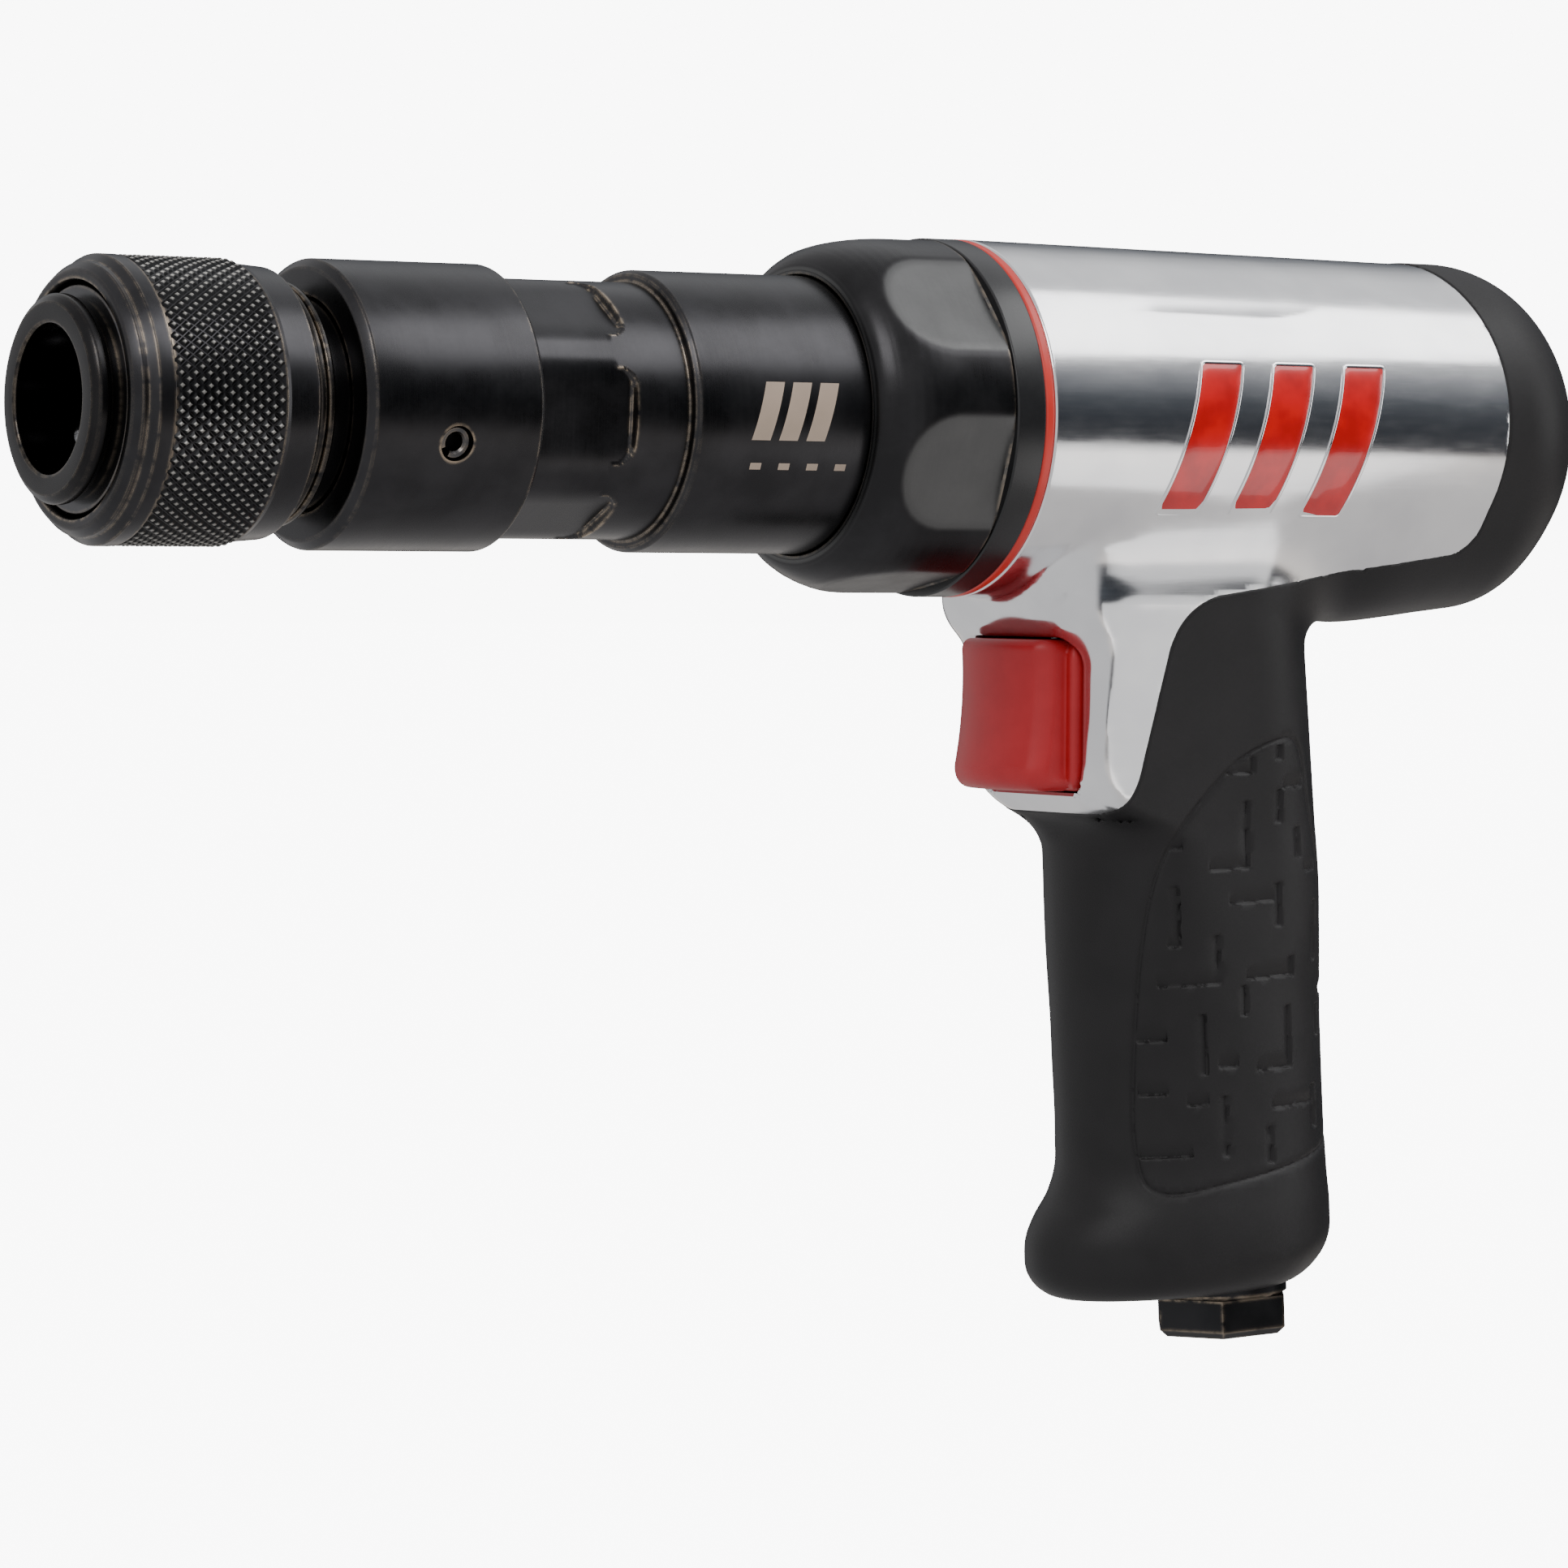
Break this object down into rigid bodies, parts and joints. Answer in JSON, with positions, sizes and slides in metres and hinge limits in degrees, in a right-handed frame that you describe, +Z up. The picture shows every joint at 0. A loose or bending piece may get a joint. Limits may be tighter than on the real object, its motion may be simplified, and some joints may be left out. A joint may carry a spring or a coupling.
{
  "type": "pneumatic rivet gun",
  "caption": "Pistol-grip pneumatic rivet hammer: quick-change retainer, long barrel, bell nut, cast cylinder housing, trigger, rubber overmoulded handle and threaded air inlet.",
  "frame": {"origin": "on the barrel axis at the muzzle face, the mouth of the tool bore", "axes": "+X out of the muzzle along the barrel; +Z up, away from the handle; +Y to the operator's left"},
  "size_m": [0.2763, 0.0576, 0.1797],
  "materials": {
    "black_steel": "black oxide, satin, with bright worn edges",
    "spring_steel": "dark spring steel",
    "hardened_steel": "ground and hardened",
    "valve_steel": "ground steel",
    "black_ring": "satin black",
    "red_ring": "moulded red polymer",
    "seal_rubber": "nitrile rubber",
    "polished_aluminium": "cast, polished",
    "grip_rubber": "soft matt overmould",
    "trigger_red": "moulded, satin",
    "badge_enamel": "gloss red enamel",
    "brass": "turned",
    "nylon": "natural",
    "inlet_steel": "black oxide",
    "screen_mesh": "perforated stainless",
    "felt": "pressed felt",
    "black_plastic": "moulded"
  },
  "bodies": {
    "root": {"retainer_body": "black_steel", "retainer_snap_ring": "spring_steel", "retainer_spring": "spring_steel", "retainer_collar": "black_steel", "collar_pin": "spring_steel", "barrel": "black_steel", "barrel_nut": "black_steel", "lock_ring": "black_ring", "seal_ring": "red_ring", "barrel_isolator": "seal_rubber", "valve_block": "valve_steel", "valve_cap": "valve_steel", "valve_dowel": "hardened_steel", "valve_spring_washer": "spring_steel", "housing": "polished_aluminium", "badge_left": "badge_enamel", "badge_right": "badge_enamel", "grip_cover": "grip_rubber", "throttle_bushing": "brass", "throttle_pin": "hardened_steel", "throttle_seat": "nylon", "throttle_spring": "spring_steel", "inlet_bushing": "inlet_steel", "inlet_o_ring": "seal_rubber", "inlet_screen": "screen_mesh", "inlet_collar": "inlet_steel", "exhaust_muffler": "felt", "exhaust_grille": "black_plastic"},
    "sleeve": {"retainer_sleeve": "black_steel"},
    "ball_1": {"locking_ball_1": "hardened_steel"},
    "ball_2": {"locking_ball_2": "hardened_steel"},
    "ball_3": {"locking_ball_3": "hardened_steel"},
    "piston": {"piston": "hardened_steel"},
    "cycle_valve": {"cycle_valve": "valve_steel"},
    "trigger": {"trigger": "trigger_red", "trigger_pin": "hardened_steel", "throttle_stem": "hardened_steel", "throttle_valve": "brass"}
  },
  "joints": [
    {"name": "sleeve_pull", "type": "slide", "parent": "root", "child": "sleeve", "axis": [-1, 0, 0], "range_m": [0, 0.0065], "stiffness_N_per_m": 900, "springref_m": -0.005, "deforming": ["retainer_spring"]},
    {"name": "ball_1_release", "type": "slide", "parent": "root", "child": "ball_1", "axis": [0, 0, 1], "range_m": [0, 0.002]},
    {"name": "ball_2_release", "type": "slide", "parent": "root", "child": "ball_2", "axis": [0, -0.866, -0.5], "range_m": [0, 0.002]},
    {"name": "ball_3_release", "type": "slide", "parent": "root", "child": "ball_3", "axis": [0, 0.866, -0.5], "range_m": [0, 0.002]},
    {"name": "piston_stroke", "type": "slide", "parent": "root", "child": "piston", "axis": [1, 0, 0], "range_m": [-0.0015, 0.067]},
    {"name": "cycle_valve_float", "type": "slide", "parent": "root", "child": "cycle_valve", "axis": [-1, 0, 0], "range_m": [0, 0.0016]},
    {"name": "trigger_squeeze", "type": "slide", "parent": "root", "child": "trigger", "axis": [-1, 0, 0], "range_m": [0, 0.006], "stiffness_N_per_m": 1500, "springref_m": -0.004, "deforming": ["throttle_spring"]}
  ],
  "couplings": [
    {"joint": "ball_1_release", "follows": "sleeve_pull", "ratio": 0.3076},
    {"joint": "ball_2_release", "follows": "sleeve_pull", "ratio": 0.3076},
    {"joint": "ball_3_release", "follows": "sleeve_pull", "ratio": 0.3076}
  ]
}
